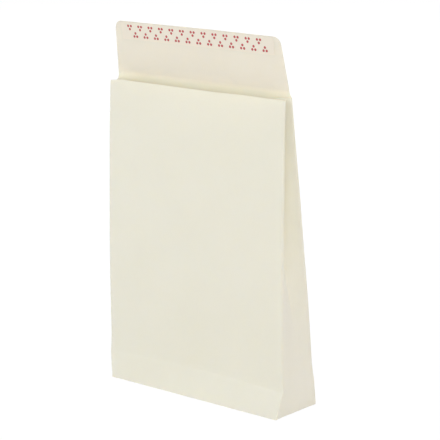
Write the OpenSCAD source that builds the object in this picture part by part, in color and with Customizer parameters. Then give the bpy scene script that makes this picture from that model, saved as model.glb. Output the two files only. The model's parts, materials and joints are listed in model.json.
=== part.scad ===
// Gusseted paper envelope with a block bottom, standing on its base with the seal flap open and upright.
// Millimetres. X runs along the width, Y from the near panel to the far panel, Z up.
// The origin is on the ground under the middle of the base.
// The near panel is the one that the flap closes over, and the flap grows out of the far panel.

/* [Pocket] */
// Width of the pocket
pocket_w = 229; // [180:1:320]
// Height of the near panel along the sheet, from the base fold to the mouth
pocket_h = 324; // [240:1:450]
// Width of each side gusset when it lies open
gusset_w = 51; // [40:1:60]
// Thickness of the paper
paper_t = 0.25; // [0.15:0.05:0.4]
// Width of the glued lap inside the far panel, along its left fold
lap_w = 15; // [8:1:25]

/* [Block bottom] */
// Depth of the base, from its near fold to its far fold
base_d = 64; // [56:1:80]
// How far each near corner of the base is drawn in
near_tuck = 3; // [0:0.5:8]
// How far each far corner of the base is drawn in
far_tuck = 0.5; // [0:0.5:8]
// Height of the crease across the near panel at the sides, along the sheet
crease_h = 28.5; // [20:0.5:40]
// How much higher the crease is in the middle
crease_arch = 3; // [0:0.5:6]
// How far the crease's right end stands behind the near fold of the base
crease_in = 8.5; // [4:0.5:14]
// How much further forward its left end stands
crease_skew = 7; // [0:0.5:8]
// Overlap of the two bottom flaps
bottom_lap = 14; // [8:1:20]

/* [Mouth] */
// How far the near panel's top edge stands behind the near fold of the base
mouth_in = 11; // [4:0.5:20]
// Gap between the two panels at the mouth
mouth_gap = 12; // [6:0.5:20]
// How much further up the sheet the far panel's shoulders are cut than the near panel's top edge
mouth_step = 2.5; // [0:0.5:8]
// How far the near panel bows forward halfway up
near_bow = 2.5; // [0:0.5:5]
// How far the far panel bows back halfway up
far_bow = 1.6; // [0:0.2:4]

/* [Upright folds] */
// Radius of the upright folds just above the crease, where they are pressed open
fold_r_low = 3.5; // [1:0.5:6]
// Radius of the upright folds at the mouth
fold_r_top = 0.8; // [0.6:0.1:1.5]
// Radius of the corner folds of the block bottom
corner_r = 0.5; // [0.5:0.1:2]
// Share of the height over which a gusset folds in
gusset_rise = 0.55; // [0.2:0.05:1]

/* [Seal flap] */
// Height of the flap above its fold
flap_h = 57; // [40:1:90]
// How far each end of the flap's fold stands in from the side
flap_shoulder = 2.5; // [2:0.1:8]
// How much further in each side of the flap is at its top
flap_taper = 5; // [0:0.2:15]
// Radius of the flap's top corners
flap_corner_r = 9; // [3:0.5:20]
// Height of the flap's fold above the cut shoulders
throat = 4; // [1:0.5:8]
// Forward lean of the flap, in degrees
flap_lean = 9; // [0:0.5:15]

/* [Peel and seal strip] */
// Height of the release liner
liner_h = 18; // [16:1:30]
// Gap from the liner to the flap's top edge
liner_drop = 1; // [1:0.2:8]
// Gap from each end of the liner to the flap's edge
liner_end = 4; // [3:0.5:20]
// Thickness of the liner
liner_t = 0.15; // [0.1:0.05:0.3]
// Margin of the adhesive inside the liner's edge
adhesive_margin = 2.5; // [1:0.5:4]
// Thickness of the adhesive
adhesive_t = 0.15; // [0.1:0.05:0.3]
// Diameter of a printed dot
dot_d = 2.8; // [1.5:0.1:3.4]
// Distance between the three dots of a cluster
dot_gap = 3.8; // [3.5:0.1:4]
// Distance between the clusters of a row
cluster_pitch = 14; // [10:0.5:20]
// Thickness of the print
print_t = 0.05; // [0.05:0.05:0.1]

/* [Hidden] */

// Counts of points and rings: they set how smooth the folds are
NEAR_POINTS = 7;
ARC_POINTS = 5;
HALF_POINTS = 2;
UPPER_RINGS = 15;
CORNER_STEPS = 8;
DOT_SIDES = 10;

// The side profile of the two panels
half_w = pocket_w / 2;
near_edge = -base_d / 2;
far_edge = base_d / 2;
far_run = base_d - mouth_in - mouth_gap;
far_rise = sqrt(pocket_h ^ 2 - far_run ^ 2);

// The base is three layers of paper deep
floor_z = 3 * paper_t;

// The flap, in its own plane: x along the fold, h up from the fold
flap_foot = half_w - flap_shoulder;
flap_top = flap_foot - flap_taper;
flap_tilt = atan(flap_taper / flap_h);

// Share of the upper height over which the upright folds open from the sharp corner at the crease
FOLD_EASE = 0.05;

// Index of the first point of each stretch of a section, going round anticlockwise as seen from above
near_right = NEAR_POINTS;
valley_right = near_right + ARC_POINTS + HALF_POINTS;
far_right = valley_right + 1 + HALF_POINTS;
far_panel = far_right + ARC_POINTS;

function mix(a, b, share) = a + (b - a) * share;
function smooth(share) = let (k = max(0, min(1, share))) k * k * (3 - 2 * k);
function bow(share) = 4 * share * (1 - share);

// How far up the upper part a height along the sheet lies, from 0 at the crease to 1 at the mouth
function upper_share(s) = (s - crease_h) / (pocket_h - crease_h);

// The crease at the place x across the near panel: its height along the sheet, and how far it stands behind the
// base fold
function crease_height(x) = crease_h + crease_arch * (1 - (x / half_w) ^ 2);
function crease_inset(x) = crease_in - crease_skew * (half_w - x) / pocket_w;

// The near panel's profile at the place x, and the far panel's: [y, z] at the height s along the sheet
function near_profile(s, x = half_w) =
    let (
        height = crease_height(x),
        inset = crease_inset(x),
        crease_z = sqrt(height ^ 2 - inset ^ 2),
        upper_rise = sqrt((pocket_h - height) ^ 2 - (mouth_in - inset) ^ 2),
        v = upper_share(s)
    )
    v <= 0
        ? [near_edge + inset * s / crease_h, crease_z * s / crease_h]
        : [near_edge + mix(inset, mouth_in, v) - near_bow * bow(v), crease_z + upper_rise * v];
function far_profile(s) =
    let (v = s / pocket_h)
    [far_edge - far_run * v + far_bow * bow(v), far_rise * v];

// Half the width of the two panels at the height s: the block bottom draws its corners in
function near_half(s) = half_w - near_tuck * max(0, 1 - s / crease_h);
function far_half(s) = half_w - far_tuck * max(0, 1 - s / crease_h);

// Radius of the upright folds at the height s
function fold_r(s) =
    let (v = min(1, upper_share(s)))
    v <= 0 ? corner_r : mix(corner_r, mix(fold_r_low, fold_r_top, v), min(1, v / FOLD_EASE));

// How far the middle fold of a gusset is pushed in at the height s, where the panels stand gap apart
function gusset_fold(s, gap) =
    sqrt(max(0, gusset_w ^ 2 - gap ^ 2)) / 2 * smooth(upper_share(s) / gusset_rise);

// The angle through which a corner arc of radius r round the origin turns past square, so that it runs straight
// on to the point to
function arc_end(r, to) = atan2(to[1], to[0]) - acos(r / norm(to));

// One side of a section at the height s, drawn as on the right: near corner, middle fold of the gusset, far corner.
// The near panel's own side is at the place x.
function section_side(s, x) =
    let (
        r = fold_r(s),
        near_y = near_profile(s, x)[0],
        far_y = far_profile(s)[0],
        near = [near_half(s) - r, near_y + r],
        far = [far_half(s) - r, far_y - r],
        valley = [(near_half(s) + far_half(s)) / 2 - gusset_fold(s, far_y - near_y), (near_y + far_y) / 2],
        near_turn = arc_end(r, valley - near),
        far_turn = arc_end(r, [valley[0] - far[0], far[1] - valley[1]]),
        near_arc = arc(near, r, -90, near_turn),
        far_arc = arc(far, r, -far_turn, 90)
    )
    [
        each near_arc,
        each between(near_arc[ARC_POINTS - 1], valley),
        valley,
        each between(valley, far_arc[0]),
        each far_arc,
    ];
function arc(middle, r, from, to) =
    [for (i = [0:ARC_POINTS - 1]) middle + r * direction(mix(from, to, i / (ARC_POINTS - 1)))];
function between(a, b) = [for (i = [1:HALF_POINTS]) mix(a, b, i / (HALF_POINTS + 1))];
function direction(angle) = [cos(angle), sin(angle)];
function mirrored(points) = [for (i = [len(points) - 1:-1:0]) [-points[i][0], points[i][1]]];

// Places across the far panel, right to left: the ends of the flap's fold, and the two edges of the lap's step
lap_edge = half_w - lap_w;
FAR_PLACES = [flap_foot, half_w / 2, 0, -half_w / 2, paper_t - lap_edge, -lap_edge, -flap_foot];
LAP_PLACE = 5;
far_count = len(FAR_PLACES);
far_left = far_panel + far_count;
valley_left = far_left + ARC_POINTS + HALF_POINTS;
near_left = valley_left + 1 + HALF_POINTS;
section_count = near_left + ARC_POINTS;

// The outside of a section at the height s, as [x, y] points
function section(s) =
    let (
        near_end = near_half(s) - fold_r(s),
        squeeze = (far_half(s) - fold_r(s)) / (half_w - fold_r_top)
    )
    [
        for (i = [1:NEAR_POINTS]) let (x = mix(-near_end, near_end, i / (NEAR_POINTS + 1))) [x, near_profile(s, x)[0]],
        each section_side(s, half_w),
        for (x = FAR_PLACES) [x * squeeze, far_profile(s)[0]],
        each mirrored(section_side(s, -half_w)),
    ];

// The inside of a section: each point moves in by the paper's thickness, or twice that where the lap is glued on
function left_normal(a, b) = let (run = b - a) [-run[1], run[0]] / norm(run);
function inset(points, layers) =
    let (count = len(points))
    [
        for (i = [0:count - 1])
            let (
                before = left_normal(points[(i + count - 1) % count], points[i]),
                after = left_normal(points[i], points[(i + 1) % count])
            )
            points[i] + (before + after) * paper_t * layers[i] / (1 + before * after)
    ];
SINGLE = [for (i = [0:section_count - 1]) 1];
LAPPED = [for (i = [0:section_count - 1]) i >= far_panel + LAP_PLACE && i <= far_left ? 2 : 1];

// A section's points set at their heights, from the near panel's s up the sheet to the far panel's s + step
function raised(points, s, step = 0) =
    [
        for (p = points)
            let (near = near_profile(s, p[0]), share = (p[1] - near[0]) / (far_profile(s)[0] - near[0]))
            [p[0], each mix(near, far_profile(s + step), share)]
    ];

// Heights of the sections along the sheet
LEVELS = [0, crease_h / 2, for (i = [0:UPPER_RINGS]) mix(crease_h, pocket_h, (i / UPPER_RINGS) ^ 1.4)];
last = len(LEVELS) - 1;

// At the mouth the far panel stands up to the flap's fold, above the shoulders
function is_fold(i) = i >= far_panel && i < far_left;
function mouth_ring(points, fold_points) =
    [for (i = [0:section_count - 1]) is_fold(i) ? fold_points[i] : points[i]];
fold_level = pocket_h + mouth_step + throat;

function outer_ring(k) =
    k == 0 ? base_ring()
    : k == last
        ? mouth_ring(
            raised(section(pocket_h), pocket_h, mouth_step),
            raised(section(fold_level), fold_level))
    : raised(section(LEVELS[k]), LEVELS[k]);
function inner_ring(k) =
    k == 0 ? [for (p = inset(section(floor_z), LAPPED)) [p[0], p[1], floor_z]]
    : k == last
        ? mouth_ring(
            raised(inset(section(pocket_h), SINGLE), pocket_h, mouth_step),
            [for (p = raised(section(fold_level), fold_level)) p - [0, paper_t, 0]])
    : raised(inset(section(LEVELS[k]), LAPPED), LEVELS[k]);

// The base fold: the near flap lies lowest, the far flap on it, and the side tucks on that
function is_gusset(i, valley) = abs(i - valley) <= HALF_POINTS;
function base_level(i) =
    is_gusset(i, valley_right) || is_gusset(i, valley_left) ? 2 * paper_t
    : i >= far_right && i < valley_left ? paper_t
    : 0;
function base_ring() =
    let (points = section(0))
    [for (i = [0:section_count - 1]) [each points[i], base_level(i)]];

// The folded flaps seen from below: their slanted edges run in at 45 degrees and meet at the tuck's tip
base_near_half = near_half(0);
tip_in = (base_d + base_near_half - far_half(0)) / 2;
tip = [base_near_half - tip_in, near_edge + tip_in];
free_in = (base_d + bottom_lap) / 2;
free_end = [base_near_half - free_in, near_edge + free_in];
function low_point(p, side, level) = [side * p[0], p[1], level * paper_t];

// Points of the base, in the order that the face lists below name them: six on each side, and two in the middle
TIP = 0;
FREE_END = 3;
TUCK_MIDDLE = 5;
SIDE_POINTS = 6;
NEAR_MIDDLE = 12;
FLOOR_MIDDLE = 13;
BASE_POINTS = [
    for (side = [1, -1]) each [
        low_point(tip, side, 0),
        low_point(tip, side, 1),
        low_point(tip, side, 2),
        low_point(free_end, side, 0),
        low_point(free_end, side, 1),
        low_point([(base_near_half + tip[0]) / 2, tip[1]], side, 2),
    ],
    [0, near_edge + free_in / 2, 0],
    [0, 0, floor_z],
];

// The flap's top corner on one side, as [x, h] points from the flap's side round to its top edge
corner_h = flap_h - flap_corner_r;
corner_x = flap_foot - corner_h * tan(flap_tilt) - flap_corner_r / cos(flap_tilt);
function flap_corner(side) =
    [
        for (i = [0:CORNER_STEPS])
            let (p = [corner_x, corner_h] + flap_corner_r * direction(mix(flap_tilt, 90, i / CORNER_STEPS)))
            [side * p[0], p[1]]
    ];
function backwards(points) = [for (i = [len(points) - 1:-1:0]) points[i]];
FLAP_OUTLINE = concat(flap_corner(-1), backwards(flap_corner(1)));
outline_count = len(FLAP_OUTLINE);

// A point of the flap's far face, and the same point on its near face
fold = far_profile(fold_level);
function on_far_face(p) = [p[0], fold[0] - p[1] * sin(flap_lean), fold[1] + p[1] * cos(flap_lean)];
function on_near_face(p) = on_far_face(p) - [0, paper_t, 0];
flap_middle = [0, flap_h / 2];

POINTS = [
    for (k = [0:last]) each outer_ring(k),
    for (k = [0:last]) each inner_ring(k),
    each BASE_POINTS,
    for (p = FLAP_OUTLINE) on_far_face(p),
    on_far_face(flap_middle),
    for (p = FLAP_OUTLINE) on_near_face(p),
    on_near_face(flap_middle),
];

// Where each set of points starts
inner_start = (last + 1) * section_count;
base_start = 2 * inner_start;
far_face_start = base_start + len(BASE_POINTS);
near_face_start = far_face_start + outline_count + 1;
function outer(k, i) = k * section_count + i % section_count;
function inner(k, i) = inner_start + outer(k, i);
function base(name, side = 0) = base_start + name + side * SIDE_POINTS;

// Faces, anticlockwise as seen from outside
function quad(a, b, c, d) = [[a, b, c], [a, c, d]];
function fan(middle, loop) = [for (i = [0:len(loop) - 1]) [middle, loop[i], loop[(i + 1) % len(loop)]]];
function turned(faces) = [for (f = faces) [f[2], f[1], f[0]]];
function along(first, final) = [for (i = [first:final]) outer(0, i)];

WALLS = [
    for (k = [0:last - 1], i = [0:section_count - 1])
        each concat(
            quad(outer(k, i), outer(k, i + 1), outer(k + 1, i + 1), outer(k + 1, i)),
            turned(quad(inner(k, i), inner(k, i + 1), inner(k + 1, i + 1), inner(k + 1, i)))
        )
];
MOUTH = [
    for (i = [0:section_count - 1])
        if (i < far_panel || i >= far_left - 1)
            each quad(outer(last, i), outer(last, i + 1), inner(last, i + 1), inner(last, i))
];

// The flap's two faces and its cut edge
far_loop = [
    for (i = [far_panel:far_left - 1]) outer(last, i),
    for (i = [0:outline_count - 1]) far_face_start + i,
];
near_loop = [
    for (i = [far_panel:far_left - 1]) inner(last, i),
    for (i = [0:outline_count - 1]) near_face_start + i,
];
loop_count = len(far_loop);
FLAP = concat(
    fan(far_face_start + outline_count, far_loop),
    turned(fan(near_face_start + outline_count, near_loop)),
    [
        for (i = [far_count - 1:loop_count - 1])
            let (next = (i + 1) % loop_count)
            each quad(near_loop[i], near_loop[next], far_loop[next], far_loop[i])
    ]
);

// The block bottom: near flap lowest, far flap, two tucks, the small steps between them, and the floor inside
MID_ARC = floor(ARC_POINTS / 2);
near_corner = [near_right + MID_ARC, near_left + MID_ARC];
far_corner = [far_right + MID_ARC, far_left + MID_ARC];
far_middle = far_panel + 2;
near_flap_loop = [
    each along(near_corner[1], near_corner[0] + section_count),
    base(TIP), base(FREE_END), base(FREE_END, 1), base(TIP, 1),
];
right_tuck_loop = [each along(near_corner[0], far_corner[0]), base(TIP + 2)];
left_tuck_loop = [each along(far_corner[1], near_corner[1]), base(TIP + 2, 1)];
right_wing = [base(TIP + 1), each along(far_corner[0], far_middle)];
left_wing = [each along(far_middle, far_corner[1]), base(TIP + 1, 1)];
function open_fan(point, line) = [for (i = [0:len(line) - 2]) [point, line[i], line[i + 1]]];
UNDERSIDE = concat(
    fan(base(NEAR_MIDDLE), near_flap_loop),
    fan(base(TUCK_MIDDLE), right_tuck_loop),
    fan(base(TUCK_MIDDLE, 1), left_tuck_loop),
    open_fan(base(FREE_END + 1), right_wing),
    open_fan(base(FREE_END + 1, 1), left_wing),
    [[base(FREE_END + 1), outer(0, far_middle), base(FREE_END + 1, 1)]]
);
function side_steps(side) =
    concat(
        [
            [outer(0, near_corner[side]), base(TIP, side), base(TIP + 1, side)],
            [outer(0, near_corner[side]), base(TIP + 1, side), base(TIP + 2, side)],
            [base(TIP + 1, side), outer(0, far_corner[side]), base(TIP + 2, side)],
        ],
        quad(base(TIP, side), base(FREE_END, side), base(FREE_END + 1, side), base(TIP + 1, side))
    );
STEPS = concat(
    side_steps(0),
    turned(side_steps(1)),
    quad(base(FREE_END), base(FREE_END, 1), base(FREE_END + 1, 1), base(FREE_END + 1))
);
FLOOR = fan(base(FLOOR_MIDDLE), [for (i = [0:section_count - 1]) inner(0, i)]);

// One sheet: panels, gussets, block bottom, lap and flap
module envelope() {
    color("#e8e5d6")
        polyhedron(points = POINTS, faces = turned(concat(WALLS, MOUTH, FLAP, turned(UNDERSIDE), STEPS, FLOOR)));
}

// The strip on the flap's near face. In the flap's own plane, x runs along the fold and z up the flap.
seat_y = -paper_t * cos(flap_lean);
liner_top = flap_h - liner_drop;
liner_mid = liner_top - liner_h / 2;
corner_reach = sqrt(flap_corner_r ^ 2 - max(0, liner_top - corner_h) ^ 2);
flap_half_there = liner_top > corner_h ? corner_x + corner_reach : flap_foot - liner_top * tan(flap_tilt);
liner_half = flap_half_there - liner_end;
module on_flap() {
    translate([0, fold[0], fold[1]])
        rotate([flap_lean, 0, 0])
            children();
}
// A flat strip centred on the liner's middle line, with its back on the plane y = back
module strip(half_length, height, thickness, back) {
    translate([-half_length, back - thickness, liner_mid - height / 2])
        cube([2 * half_length, thickness, height]);
}

module adhesive_strip() {
    color("#f2efe2")
        on_flap()
            strip(liner_half - adhesive_margin, liner_h - 2 * adhesive_margin, adhesive_t, seat_y);
}

module release_liner() {
    color("white")
        on_flap()
            strip(liner_half, liner_h, liner_t, seat_y - adhesive_t);
}

// Two rows of printed clusters on the liner: three dots each, which point down in the upper row and up in the lower one.
// The lower row is set half a pitch to the right.
ROW_SHARE = 0.235;
END_MARGIN = 3;
cluster_count = floor(2 * (liner_half - END_MARGIN) / cluster_pitch - 0.5);
module cluster(turn) {
    for (i = [0:2])
        rotate(turn + 120 * i)
            translate([dot_gap / sqrt(3), 0])
                cylinder(d = dot_d, h = print_t, $fn = DOT_SIDES);
}
module liner_dots() {
    color("#b5434a")
        on_flap()
            for (row = [-1, 1], i = [0:cluster_count - 1])
                translate([
                    (i - (cluster_count - 1) / 2 - row / 4) * cluster_pitch,
                    seat_y - adhesive_t - liner_t,
                    liner_mid + row * ROW_SHARE * liner_h,
                ])
                    rotate([90, 0, 0])
                        cluster(row * -90);
}

envelope();
adhesive_strip();
release_liner();
liner_dots();
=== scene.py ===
import json
import math

import bmesh
import bpy
from mathutils import Euler, Matrix, Vector, noise

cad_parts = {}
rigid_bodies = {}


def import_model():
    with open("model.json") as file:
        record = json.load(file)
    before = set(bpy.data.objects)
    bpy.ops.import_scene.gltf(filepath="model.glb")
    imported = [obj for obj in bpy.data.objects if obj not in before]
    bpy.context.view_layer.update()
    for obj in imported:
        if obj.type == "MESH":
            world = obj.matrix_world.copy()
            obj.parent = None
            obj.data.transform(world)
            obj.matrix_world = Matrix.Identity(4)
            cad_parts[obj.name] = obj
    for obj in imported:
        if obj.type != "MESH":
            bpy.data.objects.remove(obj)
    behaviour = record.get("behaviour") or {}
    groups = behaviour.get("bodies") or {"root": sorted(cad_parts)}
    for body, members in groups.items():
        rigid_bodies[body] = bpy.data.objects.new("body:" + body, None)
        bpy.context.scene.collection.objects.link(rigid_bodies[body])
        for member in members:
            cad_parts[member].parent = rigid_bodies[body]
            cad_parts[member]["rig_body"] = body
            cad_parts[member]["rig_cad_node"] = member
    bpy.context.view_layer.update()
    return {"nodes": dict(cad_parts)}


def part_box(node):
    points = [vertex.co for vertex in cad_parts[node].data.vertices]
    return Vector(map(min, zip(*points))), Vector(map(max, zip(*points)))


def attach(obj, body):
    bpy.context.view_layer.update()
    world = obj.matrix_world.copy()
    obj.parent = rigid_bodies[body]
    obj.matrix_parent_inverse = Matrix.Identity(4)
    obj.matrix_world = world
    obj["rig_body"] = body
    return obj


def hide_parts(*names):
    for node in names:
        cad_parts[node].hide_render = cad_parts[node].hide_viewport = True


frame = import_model()
bpy.ops.object.select_all(action="DESELECT")
print("frame loaded")


def smoothStep(low, high, value):
    share = min(1, max(0, (value - low) / (high - low)))
    return share * share * (3 - 2 * share)


# How the paper has settled: one soft field for every piece, so that what is glued together stays together
settle = {
    "waveHeight": 0.0007,  # forwards and back
    "sideWave": 0.0005,
    "waveLength": 0.085,
    "sideSeed": Vector((7.3, 2.1, 4.7)),
    "stiffFrom": 0.002,  # the block bottom is stiff, and the waves begin above it
    "stiffTo": 0.035,
    "mouthFoot": 0.27,
    "mouthTop": 0.3265,
    "mouthDrop": 0.0009,  # the mouth's edge hangs a little from its middle to the left
    "dropTo": 0.02,
    "dropFrom": 0.07,
    "cornerDrop": 0.0018,  # and more at its left corner
    "cornerTo": -0.118,
    "cornerFrom": -0.097,
    "flapFoot": 0.335,
    "flapTop": 0.384,
    "flapSag": 0.0006,  # the flap's right corner hangs too
    "sagFrom": 0.02,
    "sagTo": 0.10,
}


def mouthDrop(point):
    risen = smoothStep(settle["mouthFoot"], settle["mouthTop"], point.z)
    mouth = risen * (1 - smoothStep(settle["mouthTop"], settle["flapFoot"], point.z))
    along = settle["mouthDrop"] * (1 - smoothStep(settle["dropTo"], settle["dropFrom"], point.x))
    corner = settle["cornerDrop"] * (1 - smoothStep(settle["cornerTo"], settle["cornerFrom"], point.x))
    return mouth * (along + corner)


def flapSag(point):
    along = smoothStep(settle["sagFrom"], settle["sagTo"], point.x)
    return settle["flapSag"] * along * smoothStep(settle["flapFoot"], settle["flapTop"], point.z)


def settled(point):
    loose = smoothStep(settle["stiffFrom"], settle["stiffTo"], point.z)
    place = point / settle["waveLength"]
    wave = noise.noise(place) * settle["waveHeight"] * loose
    side = noise.noise(place + settle["sideSeed"]) * settle["sideWave"] * loose
    return point + Vector((side, wave, -mouthDrop(point) - flapSag(point)))


def activate(piece):
    bpy.ops.object.select_all(action="DESELECT")
    piece.select_set(True)
    bpy.context.view_layer.objects.active = piece


# Every piece is a merged copy of a solid of the frame, cut into cells so that it can bend softly
copies = {
    "mergeWithin": 0.000001,
    "cell": 0.0075,
    "sheetDepthCell": 0.009,
    "sharpAngle": math.radians(38),
}


def copyOfNode(node, name):
    activate(frame["nodes"][node])
    bpy.ops.object.duplicate()
    piece = bpy.context.active_object
    piece.name = piece.data.name = name
    bpy.ops.object.parent_clear(type="CLEAR_KEEP_TRANSFORM")
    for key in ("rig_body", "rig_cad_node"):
        del piece[key]
    bpy.ops.mesh.customdata_custom_splitnormals_clear()
    bpy.ops.object.mode_set(mode="EDIT")
    bpy.ops.mesh.select_all(action="SELECT")
    bpy.ops.mesh.remove_doubles(threshold=copies["mergeWithin"])
    bpy.ops.object.mode_set(mode="OBJECT")
    return piece


# Cuts the piece in hand across one axis, at even steps
def cutAcross(axis, low, high, step):
    count = max(1, round((high - low) / step))
    for i in range(1, count):
        place = [0, 0, 0]
        place[axis] = low + (high - low) * i / count
        normal = [0, 0, 0]
        normal[axis] = 1
        bpy.ops.mesh.select_all(action="SELECT")
        bpy.ops.mesh.bisect(plane_co=place, plane_no=normal)


# Settles a piece that has been cut, and smooths it between its folds
def settleAndSmooth(piece):
    bpy.ops.object.mode_set(mode="OBJECT")
    for vertex in piece.data.vertices:
        vertex.co = settled(vertex.co)
    piece.data.update()
    activate(piece)
    bpy.ops.object.shade_smooth_by_angle(angle=copies["sharpAngle"])


sheet = {
    "foldHeight": 0.327,  # where the inside of the pocket ends and the flap's inner face begins
    "foldBlend": 0.006,
    "middleRun": -0.0463,  # how far the pocket's middle leans forward per metre of height
    "creaseHeight": 0.0285,
    "creaseArch": 0.003,
    "creaseBlend": 0.004,
    "creaseAngle": math.radians(8),
    "panelFacing": 0.9,  # how squarely a face looks forwards or back to count as a panel's
    "frontFacing": -0.5,
}


# Keeps the panels' creases sharp: the paper bends more there than it does anywhere else on a panel
def sharpenCreases(piece):
    mesh = bmesh.new()
    mesh.from_mesh(piece.data)
    for edge in mesh.edges:
        flat = all(abs(face.normal.y) > sheet["panelFacing"] for face in edge.link_faces)
        if flat and edge.calc_face_angle() > sheet["creaseAngle"]:
            edge.smooth = False
    mesh.to_mesh(piece.data)
    mesh.free()


# Marks, point by point, where the paper's colour is changed to paint light and shade, so that the painted
# tones run softly into each other: painted shade on the flap's inner face, painted light on the walls inside
# the pocket, and painted light on the band below the crease, which has the tucks of the block bottom behind
# it
def markPaintedLightAndShade(piece):
    marks = piece.data.attributes
    names = ("flapInsidePaintedShade", "pocketInsidePaintedLight", "bandPaintedLight")
    for name in names:
        marks.new(name, "FLOAT", "POINT")
    flap, pocket, band = [marks[name].data for name in names]
    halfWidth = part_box("envelope")[1].x
    for vertex in piece.data.vertices:
        place, normal = vertex.co, vertex.normal
        above = smoothStep(sheet["foldHeight"], sheet["foldHeight"] + sheet["foldBlend"], place.z)
        crease = sheet["creaseHeight"] + sheet["creaseArch"] * (1 - (place.x / halfWidth) ** 2)
        inwards = Vector((-place.x, sheet["middleRun"] * place.z - place.y, 0))
        if normal.y < sheet["frontFacing"]:
            flap[vertex.index].value = above
            band[vertex.index].value = 1 - smoothStep(crease, crease + sheet["creaseBlend"], place.z)
        if normal.dot(inwards) > 0:
            pocket[vertex.index].value = 1 - above


def makeSheet():
    piece = copyOfNode("envelope", "paperSheet")
    low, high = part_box("envelope")
    bpy.ops.object.mode_set(mode="EDIT")
    cutAcross(0, low.x, high.x, copies["cell"])
    cutAcross(2, low.z, high.z, copies["cell"])
    cutAcross(1, low.y, high.y, copies["sheetDepthCell"])
    settleAndSmooth(piece)
    sharpenCreases(piece)
    markPaintedLightAndShade(piece)
    print("sheet made:", len(piece.data.polygons), "faces")
    return piece


def makeStripPiece(node, name):
    piece = copyOfNode(node, name)
    low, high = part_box(node)
    bpy.ops.object.mode_set(mode="EDIT")
    cutAcross(0, low.x, high.x, copies["cell"])
    cutAcross(2, low.z, high.z, copies["cell"])
    settleAndSmooth(piece)
    print(name, "made")
    return piece


def newMaterial(name):
    material = bpy.data.materials.new(name)
    material.use_nodes = True
    return material, material.node_tree.nodes, material.node_tree.links


def setInputs(node, **values):
    for name, value in values.items():
        node.inputs[name].default_value = value


# Paper's look as one group: fibres that run up the sheet, and a slow change of tone
paper = {
    "fibreStretch": (1.0, 1.0, 0.35),
    "fibre": {"Detail": 5.0, "Roughness": 0.62, "Distortion": 0.6},
    "mottle": {"Detail": 3.0, "Roughness": 0.5},
    "roughness": {"To Min": 0.62, "To Max": 0.8},
}


def makePaperGroup():
    group = bpy.data.node_groups.new("paperFibre", "ShaderNodeTree")
    face = group.interface
    for name in ("Fibre Size", "Fibre Strength", "Mottle Size", "Mottle Strength"):
        face.new_socket(name, in_out="INPUT", socket_type="NodeSocketFloat")
    for name in ("Light Tone", "Dark Tone"):
        face.new_socket(name, in_out="INPUT", socket_type="NodeSocketColor")
    face.new_socket("Color", in_out="OUTPUT", socket_type="NodeSocketColor")
    face.new_socket("Height", in_out="OUTPUT", socket_type="NodeSocketFloat")
    face.new_socket("Roughness", in_out="OUTPUT", socket_type="NodeSocketFloat")
    nodes, links = group.nodes, group.links
    given = nodes.new("NodeGroupInput")
    out = nodes.new("NodeGroupOutput")
    place = nodes.new("ShaderNodeTexCoord")
    stretch = nodes.new("ShaderNodeMapping")
    stretch.inputs["Scale"].default_value = paper["fibreStretch"]
    links.new(place.outputs["Object"], stretch.inputs["Vector"])
    fibre = nodes.new("ShaderNodeTexNoise")
    setInputs(fibre, **paper["fibre"])
    links.new(stretch.outputs["Vector"], fibre.inputs["Vector"])
    links.new(given.outputs["Fibre Size"], fibre.inputs["Scale"])
    mottle = nodes.new("ShaderNodeTexNoise")
    setInputs(mottle, **paper["mottle"])
    links.new(place.outputs["Object"], mottle.inputs["Vector"])
    links.new(given.outputs["Mottle Size"], mottle.inputs["Scale"])
    parts = []
    for texture, strength in ((fibre, "Fibre Strength"), (mottle, "Mottle Strength")):
        centred = nodes.new("ShaderNodeMath")
        centred.operation = "SUBTRACT"
        centred.inputs[1].default_value = 0.5
        links.new(texture.outputs["Fac"], centred.inputs[0])
        scaled = nodes.new("ShaderNodeMath")
        scaled.operation = "MULTIPLY"
        links.new(centred.outputs[0], scaled.inputs[0])
        links.new(given.outputs[strength], scaled.inputs[1])
        parts.append(scaled)
    total = nodes.new("ShaderNodeMath")
    total.operation = "ADD"
    links.new(parts[0].outputs[0], total.inputs[0])
    links.new(parts[1].outputs[0], total.inputs[1])
    share = nodes.new("ShaderNodeMath")
    share.operation = "ADD"
    share.use_clamp = True
    share.inputs[1].default_value = 0.5
    links.new(total.outputs[0], share.inputs[0])
    mix = nodes.new("ShaderNodeMix")
    mix.data_type = "RGBA"
    links.new(share.outputs[0], mix.inputs[0])
    links.new(given.outputs["Dark Tone"], mix.inputs[6])
    links.new(given.outputs["Light Tone"], mix.inputs[7])
    links.new(mix.outputs[2], out.inputs["Color"])
    links.new(fibre.outputs["Fac"], out.inputs["Height"])
    rough = nodes.new("ShaderNodeMapRange")
    setInputs(rough, **paper["roughness"])
    links.new(fibre.outputs["Fac"], rough.inputs["Value"])
    links.new(rough.outputs["Result"], out.inputs["Roughness"])
    return group


paperGroup = makePaperGroup()


def paperMaterial(name, settings):
    material, nodes, links = newMaterial(name)
    group = nodes.new("ShaderNodeGroup")
    group.node_tree = paperGroup
    setInputs(group, **settings["paper"])
    shader = nodes["Principled BSDF"]
    setInputs(shader, **settings["shader"])
    bump = nodes.new("ShaderNodeBump")
    setInputs(bump, **settings["bump"])
    links.new(group.outputs["Height"], bump.inputs["Height"])
    links.new(group.outputs["Color"], shader.inputs["Base Color"])
    links.new(group.outputs["Roughness"], shader.inputs["Roughness"])
    links.new(bump.outputs["Normal"], shader.inputs["Normal"])
    for mark, tone in settings["tints"].items():
        tintWhere(nodes, links, shader, mark, tone)
    return material


# Multiplies a shader's colour by a tone where an attribute marks the paper
def tintWhere(nodes, links, shader, mark, tone):
    where = nodes.new("ShaderNodeAttribute")
    where.attribute_name = mark
    tint = nodes.new("ShaderNodeMix")
    tint.data_type = "RGBA"
    tint.blend_type = "MULTIPLY"
    tint.inputs[7].default_value = tone
    links.new(where.outputs["Fac"], tint.inputs[0])
    links.new(shader.inputs["Base Color"].links[0].from_socket, tint.inputs[6])
    links.new(tint.outputs[2], shader.inputs["Base Color"])


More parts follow.
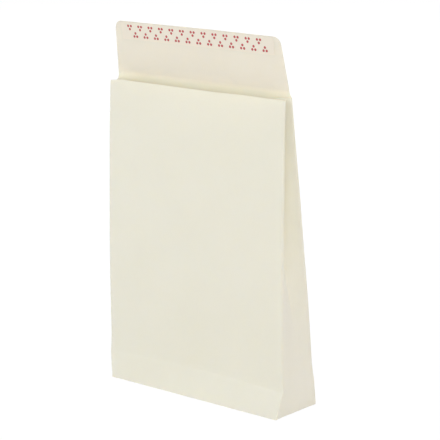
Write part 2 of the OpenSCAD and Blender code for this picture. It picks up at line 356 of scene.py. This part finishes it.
# The sheet is thin enough to let some light through
manillaPaper = {
    "paper": {
        "Fibre Size": 700.0,
        "Fibre Strength": 0.7,
        "Mottle Size": 16.0,
        "Mottle Strength": 1.2,
        "Light Tone": (0.900, 0.880, 0.755, 1),
        "Dark Tone": (0.865, 0.845, 0.715, 1),
    },
    "shader": {
        "Specular IOR Level": 0.25,
        "Subsurface Weight": 1.0,
        "Subsurface Radius": (1.0, 0.95, 0.85),
        "Subsurface Scale": 0.0003,
    },
    "bump": {"Strength": 0.08, "Distance": 0.0001},
    "tints": {
        # painted shade: the flap's inner face is made 6 to 9 per cent darker
        "flapInsidePaintedShade": (0.925, 0.91, 0.94, 1),
        # painted light: the walls inside the pocket are made 4 to 11 per cent lighter, which lifts the shade
        # in the mouth; their red comes to 0.98, more than a real paper reflects
        "pocketInsidePaintedLight": (1.115, 1.05, 1.04, 1),
        # painted light: the band below the crease is made 2 per cent lighter, on top of the light it gets
        # from tilting up
        "bandPaintedLight": (1.02, 1.02, 1.02, 1),
    },
}

linerPaper = {
    "paper": {
        "Fibre Size": 1100.0,
        "Fibre Strength": 0.6,
        "Mottle Size": 25.0,
        "Mottle Strength": 0.6,
        "Light Tone": (0.875, 0.82, 0.705, 1),
        "Dark Tone": (0.85, 0.795, 0.68, 1),
    },
    "shader": {"Specular IOR Level": 0.4},
    "bump": {"Strength": 0.05, "Distance": 0.00005},
    "tints": {},
}

adhesiveFilm = {"Base Color": (0.80, 0.76, 0.62, 1), "Roughness": 0.3}
redInk = {"Base Color": (0.50, 0.085, 0.085, 1), "Roughness": 0.55}


def plainMaterial(name, settings):
    material, nodes, links = newMaterial(name)
    setInputs(nodes["Principled BSDF"], **settings)
    return material


def finish(piece, node, material):
    piece.data.materials.clear()
    piece.data.materials.append(material)
    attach(piece, "root")
    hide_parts(node)


finish(makeSheet(), "envelope", paperMaterial("manillaPaper", manillaPaper))
film = makeStripPiece("adhesive_strip", "adhesiveFilmStrip")
finish(film, "adhesive_strip", plainMaterial("adhesiveFilm", adhesiveFilm))
liner = makeStripPiece("release_liner", "releaseLiner")
finish(liner, "release_liner", paperMaterial("linerPaper", linerPaper))
dots = makeStripPiece("liner_dots", "linerDots")
finish(dots, "liner_dots", plainMaterial("redInk", redInk))
print("pieces dressed")

# The studio: pale floor, white all round, large soft lamps and an even sky
studio = {
    "floorSize": 8,
    "floor": {"Base Color": (0.9, 0.9, 0.9, 1), "Roughness": 0.9, "Specular IOR Level": 0.0},
    "floorWhite": 0.93,  # how far the floor is seen white; the rest shows the shadow
    "floorGlow": 1.045,
    "skyLight": 0.27,
    "lampAim": (0, 0, 0.15),
    "lampDistance": 3.2,
    "lampSize": 1.6,
    "lamps": {
        "leftLamp": {"turn": -30, "rise": 20, "power": 30, "color": (1, 1, 1)},
        "frontLamp": {"turn": 40, "rise": 14, "power": 18, "color": (1, 1, 1)},
        "rightLamp": {"turn": 65, "rise": 20, "power": 24, "color": (1, 0.92, 0.915)},
        "backLamp": {"turn": 140, "rise": 25, "power": 21, "color": (1, 0.92, 0.915)},
        "farLamp": {"turn": 215, "rise": 25, "power": 32, "color": (1, 1, 1)},
        "topLamp": {"turn": 0, "rise": 65, "power": 6, "color": (1, 1, 1)},
    },
}


def makeFloor():
    bpy.ops.mesh.primitive_plane_add(size=studio["floorSize"], location=(0, 0, 0))
    floor = bpy.context.active_object
    floor.name = "floor"
    material, nodes, links = newMaterial("floorPaint")
    shader = nodes["Principled BSDF"]
    setInputs(shader, **studio["floor"])
    white = nodes.new("ShaderNodeEmission")
    white.inputs["Strength"].default_value = studio["floorGlow"]
    ray = nodes.new("ShaderNodeLightPath")
    seen = nodes.new("ShaderNodeMath")
    seen.operation = "MULTIPLY"
    seen.inputs[1].default_value = studio["floorWhite"]
    blend = nodes.new("ShaderNodeMixShader")
    links.new(ray.outputs["Is Camera Ray"], seen.inputs[0])
    links.new(seen.outputs[0], blend.inputs["Fac"])
    links.new(shader.outputs["BSDF"], blend.inputs[1])
    links.new(white.outputs["Emission"], blend.inputs[2])
    links.new(blend.outputs["Shader"], nodes["Material Output"].inputs["Surface"])
    floor.data.materials.append(material)


def makeSky():
    world = bpy.data.worlds.new("studioSky")
    bpy.context.scene.world = world
    world.use_nodes = True
    nodes, links = world.node_tree.nodes, world.node_tree.links
    sky = nodes["Background"]
    setInputs(sky, Color=(1, 1, 1, 1), Strength=studio["skyLight"])
    white = nodes.new("ShaderNodeBackground")
    setInputs(white, Color=(1, 1, 1, 1), Strength=1.0)
    ray = nodes.new("ShaderNodeLightPath")
    glossOrSeen = nodes.new("ShaderNodeMath")
    glossOrSeen.operation = "MAXIMUM"
    withGlass = nodes.new("ShaderNodeMath")
    withGlass.operation = "MAXIMUM"
    blend = nodes.new("ShaderNodeMixShader")
    links.new(ray.outputs["Is Camera Ray"], glossOrSeen.inputs[0])
    links.new(ray.outputs["Is Glossy Ray"], glossOrSeen.inputs[1])
    links.new(glossOrSeen.outputs[0], withGlass.inputs[0])
    links.new(ray.outputs["Is Transmission Ray"], withGlass.inputs[1])
    links.new(withGlass.outputs[0], blend.inputs["Fac"])
    links.new(sky.outputs["Background"], blend.inputs[1])
    links.new(white.outputs["Background"], blend.inputs[2])
    links.new(blend.outputs["Shader"], nodes["World Output"].inputs["Surface"])


# A lamp on a sphere round the object: turned from the near panel's front towards +X, and raised
def makeLamp(name, turn, rise, power, color):
    across, up = math.radians(turn), math.radians(rise)
    way = Vector((math.sin(across) * math.cos(up), -math.cos(across) * math.cos(up), math.sin(up)))
    place = Vector(studio["lampAim"]) + way * studio["lampDistance"]
    bpy.ops.object.light_add(type="AREA", location=place, rotation=(-way).to_track_quat("-Z", "Y").to_euler())
    lamp = bpy.context.active_object
    lamp.name = name
    lamp.data.size = studio["lampSize"]
    lamp.data.energy = power
    lamp.data.color = color


# The camera stands to the right of the near panel and looks a little down
shot = {
    "aim": (-0.0122, 0.0327, 0.1758),
    "distance": 1.875,
    "yaw": 39.60,
    "pitch": 13.66,
    "roll": -0.53,
    "lens": 146.4,
}


def makeCamera():
    turn = Euler((math.radians(90 - shot["pitch"]), 0, math.radians(shot["yaw"]))).to_matrix()
    turn = turn @ Matrix.Rotation(math.radians(shot["roll"]), 3, "Z")
    place = Vector(shot["aim"]) + turn @ Vector((0, 0, shot["distance"]))
    bpy.ops.object.camera_add(location=place, rotation=turn.to_euler())
    camera = bpy.context.active_object
    camera.name = "photoCamera"
    camera.data.lens = shot["lens"]
    bpy.context.scene.camera = camera


makeFloor()
makeSky()
for name, lamp in studio["lamps"].items():
    makeLamp(name, **lamp)
makeCamera()
bpy.context.scene.view_settings.view_transform = "Standard"
print("studio ready")
